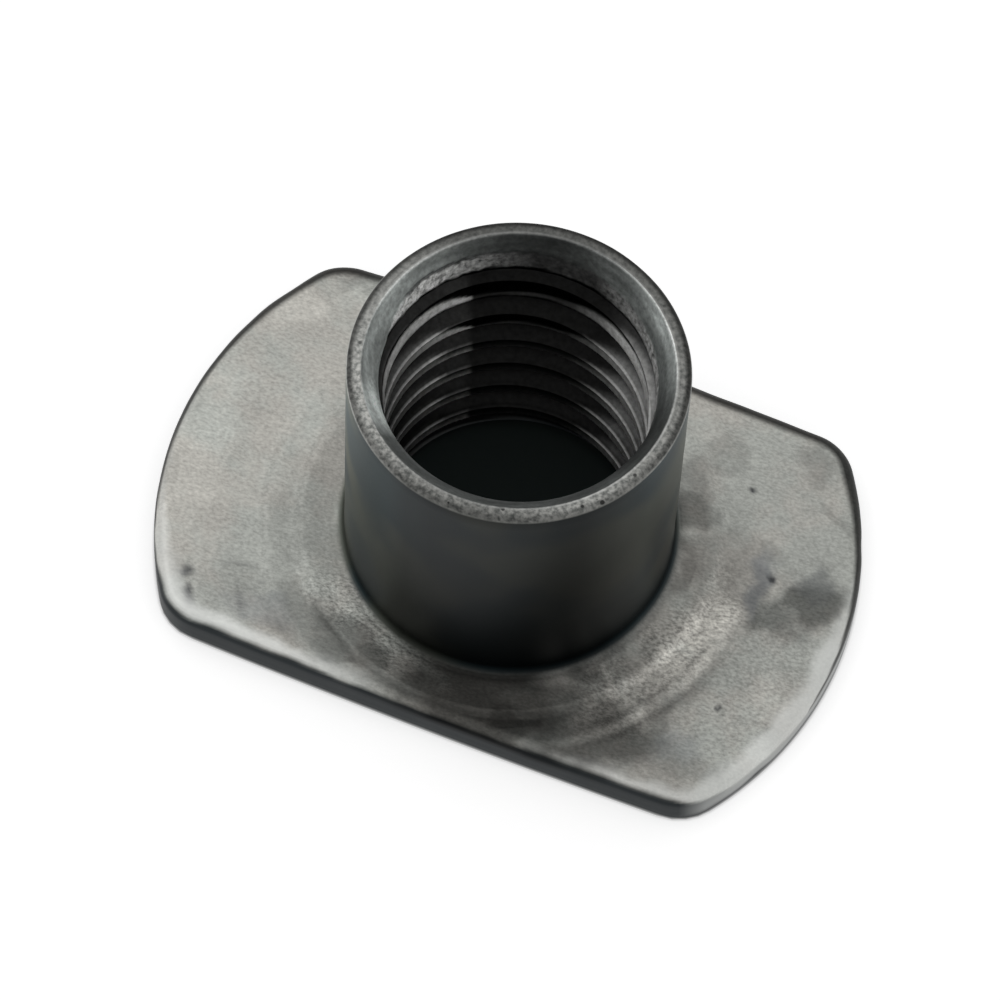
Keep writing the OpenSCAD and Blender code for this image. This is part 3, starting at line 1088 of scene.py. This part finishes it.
def flangeTone(tree, place, zone, grainGroup):
    # fine grain drawn out one way, rougher on the pad, over slow casts of warm and cool
    f = finish
    given = {"Vector": place, "Rotation": (0, 0, math.radians(f["grainTurn"])), "Scale": f["grainStretch"]}
    drawn = put(tree, "ShaderNodeMapping", given).outputs[0]
    contrast = scaled(tree, zone["rough"], *f["grainContrast"])
    grain = useGroup(tree, grainGroup, Place=drawn, Size=f["grainSize"], Contrast=contrast)["Grain"]
    cloud = noiseNode(tree, drawn, *f["clouds"])
    grain = scaled(tree, offMiddle(tree, cloud), f["cloudShare"], grain)
    tone = mixTones(tree, grain, f["grainDark"], f["grainLight"])
    warmth = mapRange(tree, noiseNode(tree, place, *f["casts"]), *f["castEdges"])
    cast = mixTones(tree, warmth, f["coolCast"], f["warmCast"])
    tone = mixTones(tree, 1.0, tone, cast, "MULTIPLY")
    tone = mixTones(tree, zone["blue"], tone, f["bluing"])
    return mixTones(tree, zone["soot"], tone, f["soot"]), grain


def edgeTone(tree, tone, zone):
    # polish with a painted highlight along the edge, then the cut wall below the rolled edge, dark partly
    # with painted shade and pale where light is painted at the right end
    f = finish
    polish = mathNode(tree, "MULTIPLY", zone["polish"], f["polishShare"])
    tone = mixTones(tree, polish, tone, f["polished"])
    wall = mixTones(tree, zone["pale"], f["cutWall"], f["paleWall"])
    return mixTones(tree, zone["cut"], tone, wall)


def barrelTone(tree, tone, place, zone):
    # a dark wall in slow fields of brown and blue, dark partly for its scale and partly as painted shade
    f = finish
    hue = mapRange(tree, noiseNode(tree, place, *f["hues"]), *f["hueEdges"])
    return mixTones(tree, zone["side"], tone, mixTones(tree, hue, f["wallBrown"], f["wallBlue"]))


def rimTone(tree, tone, place, zone, grainGroup, pits):
    # the bore, the band in its mouth, the flattened and pitted rim, and the lip with its painted highlight
    f = finish
    tone = mixTones(tree, zone["inside"], tone, f["boreTone"])
    tone = mixTones(tree, zone["band"], tone, f["mouthTone"])
    contrast = scaled(tree, zone["pitting"], *f["rimContrast"])
    grain = useGroup(tree, grainGroup, Place=place, Size=f["rimGrainSize"], Contrast=contrast)["Grain"]
    rim = mixTones(tree, pits, mixTones(tree, grain, f["rimDark"], f["rimLight"]), f["rimPit"])
    tone = mixTones(tree, zone["rim"], tone, rim)
    lip = mathNode(tree, "MULTIPLY", zone["lip"], f["lipShare"])
    return mixTones(tree, lip, tone, f["polished"]), grain


def paintShade(tree, tone, zone, grain):
    # the painted shade, speckled where the metal in the mouth is torn
    speckle = mathNode(tree, "MULTIPLY", offMiddle(tree, grain), finish["speckle"])
    where = scaled(tree, zone["inside"], finish["boreSpeckle"], zone["land"])
    speckle = mathNode(tree, "MULTIPLY", speckle, where)
    shade = mathNode(tree, "MULTIPLY", zone["shade"], mathNode(tree, "ADD", speckle, 1.0))
    return put(tree, "ShaderNodeVectorMath", {0: tone, "Scale": shade}, operation="SCALE").outputs[0]


def steelRoughness(tree, zone):
    rough = finish["roughness"]
    for name, added in finish["roughnessAdded"].items():
        rough = scaled(tree, zone[name], added, rough)
    mouth = mathNode(tree, "MAXIMUM", zone["land"], zone["band"])
    return scaled(tree, mouth, finish["mouthRoughness"], rough)


def steelBump(tree, zone, grain, pits):
    depth = finish["relief"]
    for name, added in finish["reliefAdded"].items():
        depth = scaled(tree, zone[name], added, depth)
    wall = mathNode(tree, "MAXIMUM", zone["side"], zone["inside"])
    depth = scaled(tree, wall, finish["wallRelief"], depth)
    height = mathNode(tree, "MULTIPLY", mathNode(tree, "SUBTRACT", grain, pits), depth)
    given = {"Strength": finish["bumpStrength"], "Distance": finish["bumpDistance"], "Height": height}
    return put(tree, "ShaderNodeBump", given).outputs[0]


def finishSteel(material, names):
    tree = material.node_tree
    shader = tree.nodes["Principled BSDF"]
    grainGroup, pitGroup = makeGrain(), makePits()
    zone = {name: put(tree, "ShaderNodeAttribute", attribute_name=name).outputs["Fac"] for name in names}
    place = inMillimetres(tree)
    pits = useGroup(tree, pitGroup, Place=place, Spacing=finish["pitSpacing"], Share=finish["pitShare"])
    pits = mathNode(tree, "MULTIPLY", pits["Mask"], zone["pitting"])
    tone, grain = flangeTone(tree, place, zone, grainGroup)
    tone = barrelTone(tree, edgeTone(tree, tone, zone), place, zone)
    tone, rimGrain = rimTone(tree, tone, place, zone, grainGroup, pits)
    linkNodes(
        tree,
        (paintShade(tree, tone, zone, rimGrain), shader.inputs["Base Color"]),
        (steelRoughness(tree, zone), shader.inputs["Roughness"]),
        # torn metal in the mouth and the band scatter light, and the thread's crest faces are dull so that
        # their painted highlight shows
        (mathNode(tree, "SUBTRACT", 1.0, zone["dull"]), shader.inputs["Metallic"]),
        (steelBump(tree, zone, grain, pits), shader.inputs["Normal"]),
    )


finishSteel(steel, paintZones(nutMesh))
print("steel finished:", len(steel.node_tree.nodes), "nodes")

# Floor, light and background
studio = {
    "floorColor": (0.8, 0.8, 0.8),
    # the dark floor under the nut, seen through its bore, is a painted shadow
    "underColor": (0.040, 0.052, 0.050),  # under the nut and seen through its bore
    "floorRoughness": 0.9,
    "floorShine": 0.1,
    "floorGlow": 0.58,
    "floorHeight": -0.02,
    "floorColumns": 180,
    "floorReach": 3000.0,
    "throatCover": 5.8,  # radius of the piece of floor under the bore
    # inset from the flange's outline, share of light on the floor there
    "floorRings": ((0.6, 0.0), (0.12, 0.0), (0.03, 0.25), (-0.02, 0.75), (-0.1, 1.0)),
    # the lights, in metres and watts
    "skyDiffuse": 0.6,
    "keyPower": 0.06,
    "keyPlace": (-0.15, 0.12, 0.28),
    "keySize": 0.16,
}


def seenShare(tree):
    # 1 for what the camera, gloss and glass see, 0 for light that is scattered
    path = tree.nodes.new("ShaderNodeLightPath").outputs
    both = mathNode(tree, "ADD", path["Is Camera Ray"], path["Is Glossy Ray"])
    every = tree.nodes.new("ShaderNodeMath")
    every.operation = "ADD"
    every.use_clamp = True
    linkNodes(tree, (both, every.inputs[0]), (path["Is Transmission Ray"], every.inputs[1]))
    return every.outputs[0]


def floorMesh():
    # rings of floor round the outline, each with the share of light that reaches it
    count, height = studio["floorColumns"], studio["floorHeight"] * mm
    angles = np.linspace(0, 2 * math.pi, count, endpoint=False)
    rings = [(studio["throatCover"], 0.0)]
    rings += [(outlineReach(angles, inset), share) for inset, share in studio["floorRings"]]
    rings.append((studio["floorReach"], 1.0))
    points, shares = [(0, 0, height)], [0.0]
    for r, share in rings:
        places = zip(r * np.cos(angles) * mm, r * np.sin(angles) * mm)
        points += [(x, y, height) for x, y in places]
        shares += [share] * count
    faces = [(0, 1 + i, 1 + (i + 1) % count) for i in range(count)]
    # the first gap stays open, so that the flange's underside shows from below
    for ring in range(1, len(rings) - 1):
        low, high = 1 + ring * count, 1 + (ring + 1) * count
        faces += [(low + i, high + i, high + (i + 1) % count, low + (i + 1) % count) for i in range(count)]
    mesh = bpy.data.meshes.new("floor")
    mesh.from_pydata(points, [], faces)
    mesh.attributes.new("open", "FLOAT", "POINT").data.foreach_set("value", shares)
    return mesh


def floorMaterial():
    # pale and glowing from above, clear from below
    material = bpy.data.materials.new("paleFloor")
    material.use_nodes = True
    tree = material.node_tree
    shader = tree.nodes["Principled BSDF"]
    lit = put(tree, "ShaderNodeAttribute", attribute_name="open").outputs["Fac"]
    color = mixTones(tree, lit, studio["underColor"], studio["floorColor"])
    shader.inputs["Roughness"].default_value = studio["floorRoughness"]
    shader.inputs["Specular IOR Level"].default_value = studio["floorShine"]
    shader.inputs["Emission Color"].default_value = (1, 1, 1, 1)
    glow = mathNode(tree, "MULTIPLY", mathNode(tree, "MULTIPLY", seenShare(tree), lit), studio["floorGlow"])
    clear = tree.nodes.new("ShaderNodeBsdfTransparent")
    oneSided = tree.nodes.new("ShaderNodeMixShader")
    linkNodes(
        tree,
        (color, shader.inputs["Base Color"]),
        (glow, shader.inputs["Emission Strength"]),
        (tree.nodes.new("ShaderNodeNewGeometry").outputs["Backfacing"], oneSided.inputs[0]),
        (shader.outputs[0], oneSided.inputs[1]),
        (clear.outputs[0], oneSided.inputs[2]),
        (oneSided.outputs[0], tree.nodes["Material Output"].inputs["Surface"]),
    )
    return material


def addFloor():
    mesh = floorMesh()
    mesh.materials.append(floorMaterial())
    floor = bpy.data.objects.new("floor", mesh)
    bpy.context.scene.collection.objects.link(floor)


def addSky():
    world = bpy.data.worlds.new("studioSky")
    bpy.context.scene.world = world
    world.use_nodes = True
    tree = world.node_tree
    background = tree.nodes["Background"]
    background.inputs["Color"].default_value = (1, 1, 1, 1)
    level = mathNode(tree, "MULTIPLY_ADD", seenShare(tree), 1 - studio["skyDiffuse"], studio["skyDiffuse"])
    linkNodes(tree, (level, background.inputs["Strength"]))


def addLamp(name, place, size, power):
    data = bpy.data.lights.new(name, "AREA")
    data.shape = "DISK"
    data.size = size
    data.energy = power
    lamp = bpy.data.objects.new(name, data)
    lamp.location = place
    lamp.rotation_mode = "QUATERNION"
    lamp.rotation_quaternion = (-Vector(place)).to_track_quat("-Z", "Y")
    bpy.context.scene.collection.objects.link(lamp)


addFloor()
addSky()
addLamp("keyLamp", studio["keyPlace"], studio["keySize"], studio["keyPower"])
bpy.context.scene.view_settings.view_transform = "Standard"
print("studio lit")
